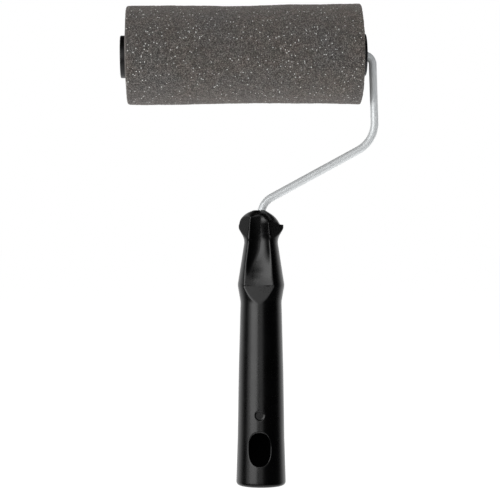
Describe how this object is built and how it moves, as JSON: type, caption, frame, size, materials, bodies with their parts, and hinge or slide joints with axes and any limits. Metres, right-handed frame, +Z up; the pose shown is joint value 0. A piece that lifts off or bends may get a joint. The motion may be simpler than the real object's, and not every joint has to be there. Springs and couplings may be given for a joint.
{
  "type": "foam paint roller",
  "caption": "Small foam paint roller on a bent wire frame with a moulded plastic handle; the sleeve spins on the wire and the handle takes a pole.",
  "frame": {"origin": "centre of the pole socket's mouth, on the flat lower end of the handle", "axes": "+Z up along the handle towards the roller, +X across it towards the side where the wire bends (the axle slopes 0.75 degrees up that way), -Y the front with the thumb scoop and the hanging hole"},
  "size_m": [0.1639, 0.062, 0.3041],
  "materials": {
    "foam": "dark grey-brown open-cell foam",
    "core_plastic": "extruded grey polypropylene",
    "cap_plastic": "moulded black polypropylene, satin",
    "bush_plastic": "natural nylon",
    "zinc_steel": "bright zinc-plated drawn wire",
    "spring_steel": "oiled spring steel",
    "handle_plastic": "moulded black polypropylene, semi-gloss"
  },
  "bodies": {
    "frame": {"frame_rod": "zinc_steel", "handle": "handle_plastic", "thrust_washer": "zinc_steel", "axle_push_nut": "spring_steel"},
    "roller": {"foam_sleeve": "foam", "core_tube": "core_plastic", "inner_end_cap": "cap_plastic", "outer_end_cap": "cap_plastic", "inner_bearing_bush": "bush_plastic", "outer_bearing_bush": "bush_plastic", "outer_bearing_carrier": "cap_plastic"}
  },
  "joints": [
    {"name": "roller_spin", "type": "hinge", "parent": "frame", "child": "roller", "pos_m": [0.071, 0, 0.2732], "axis": [0.9999, 0, 0.0131], "continuous": true}
  ]
}
